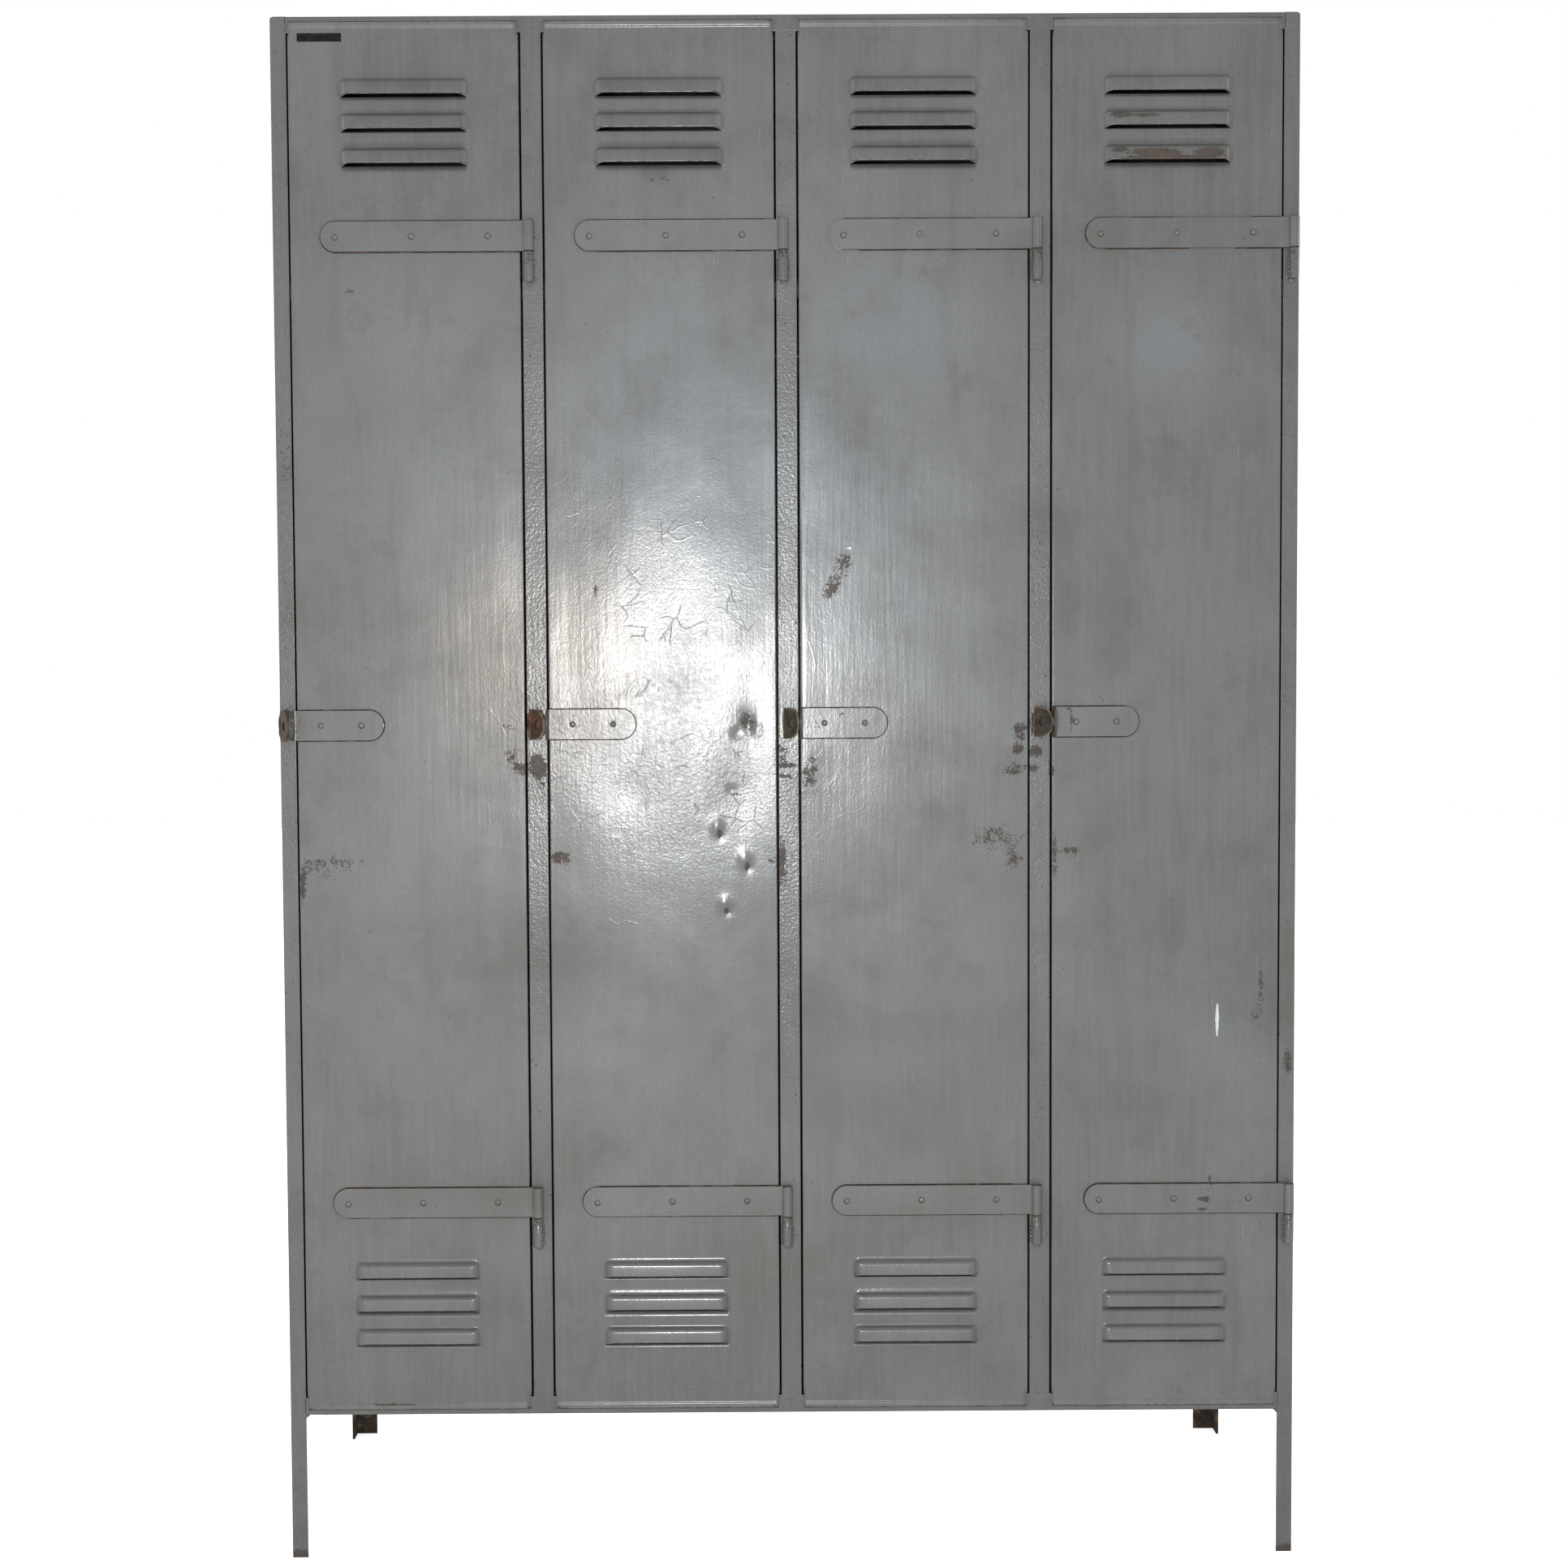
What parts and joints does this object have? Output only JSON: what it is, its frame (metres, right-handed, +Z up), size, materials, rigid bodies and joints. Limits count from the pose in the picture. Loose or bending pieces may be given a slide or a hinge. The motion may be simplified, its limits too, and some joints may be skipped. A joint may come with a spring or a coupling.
{
  "type": "school locker",
  "caption": "Steel school locker on angle-iron legs, side-by-side compartments with louvred doors on strap hinges and padlock hasps.",
  "frame": {"origin": "on the floor, under the middle of the whole object's box", "axes": "+Z up, front towards -Y, +X to the right as seen from the front"},
  "size_m": [1.185, 0.5318, 1.8],
  "materials": {
    "frame_paint": "satin grey brushed enamel, chipped to rust along edges",
    "door_paint": "worn satin grey enamel, wiped and streaked, rust spots by the latches",
    "panel_paint": "satin grey enamel on flat sheet",
    "strap_paint": "satin grey enamel on strap steel, rust on edges",
    "interior_paint": "dull grey enamel",
    "rusted_steel": "bare steel, rusted brown and polished by use",
    "bare_tube": "bare steel tube, dulled"
  },
  "bodies": {
    "cabinet": {"front_stile_left": "frame_paint", "rear_stile_left": "frame_paint", "side_top_rail_left": "frame_paint", "side_bottom_rail_left": "frame_paint", "side_panel_left": "panel_paint", "front_stile_right": "frame_paint", "rear_stile_right": "frame_paint", "side_top_rail_right": "frame_paint", "side_bottom_rail_right": "frame_paint", "side_panel_right": "panel_paint", "front_top_rail": "frame_paint", "front_bottom_rail": "frame_paint", "rear_top_rail": "frame_paint", "rear_bottom_rail": "frame_paint", "top_panel": "panel_paint", "back_panel": "panel_paint", "bottom_panel": "interior_paint", "mullion_1": "frame_paint", "partition_1": "interior_paint", "mullion_2": "frame_paint", "partition_2": "interior_paint", "mullion_3": "frame_paint", "partition_3": "interior_paint", "hat_shelf_1": "interior_paint", "coat_rail_1": "bare_tube", "hinge_pin_1_top": "frame_paint", "hinge_pin_1_bottom": "frame_paint", "latch_lug_1": "rusted_steel", "hat_shelf_2": "interior_paint", "coat_rail_2": "bare_tube", "hinge_pin_2_top": "frame_paint", "hinge_pin_2_bottom": "frame_paint", "latch_lug_2": "rusted_steel", "hat_shelf_3": "interior_paint", "coat_rail_3": "bare_tube", "hinge_pin_3_top": "frame_paint", "hinge_pin_3_bottom": "frame_paint", "latch_lug_3": "rusted_steel", "hat_shelf_4": "interior_paint", "coat_rail_4": "bare_tube", "hinge_pin_4_top": "frame_paint", "hinge_pin_4_bottom": "frame_paint", "latch_lug_4": "rusted_steel"},
    "door_1": {"door_panel_1": "door_paint", "hinge_strap_1_top": "strap_paint", "hinge_strap_1_bottom": "strap_paint", "hasp_1": "strap_paint"},
    "door_2": {"door_panel_2": "door_paint", "hinge_strap_2_top": "strap_paint", "hinge_strap_2_bottom": "strap_paint", "hasp_2": "strap_paint"},
    "door_3": {"door_panel_3": "door_paint", "hinge_strap_3_top": "strap_paint", "hinge_strap_3_bottom": "strap_paint", "hasp_3": "strap_paint"},
    "door_4": {"door_panel_4": "door_paint", "hinge_strap_4_top": "strap_paint", "hinge_strap_4_bottom": "strap_paint", "hasp_4": "strap_paint"}
  },
  "joints": [
    {"name": "door_1_hinge", "type": "hinge", "parent": "cabinet", "child": "door_1", "pos_m": [-0.297, -0.2406, 0.986], "axis": [0, 0, 1], "range_deg": [0, 110]},
    {"name": "door_2_hinge", "type": "hinge", "parent": "cabinet", "child": "door_2", "pos_m": [-0.004, -0.2406, 0.986], "axis": [0, 0, 1], "range_deg": [0, 110]},
    {"name": "door_3_hinge", "type": "hinge", "parent": "cabinet", "child": "door_3", "pos_m": [0.289, -0.2406, 0.986], "axis": [0, 0, 1], "range_deg": [0, 110]},
    {"name": "door_4_hinge", "type": "hinge", "parent": "cabinet", "child": "door_4", "pos_m": [0.5855, -0.2406, 0.986], "axis": [0, 0, 1], "range_deg": [0, 110]}
  ]
}
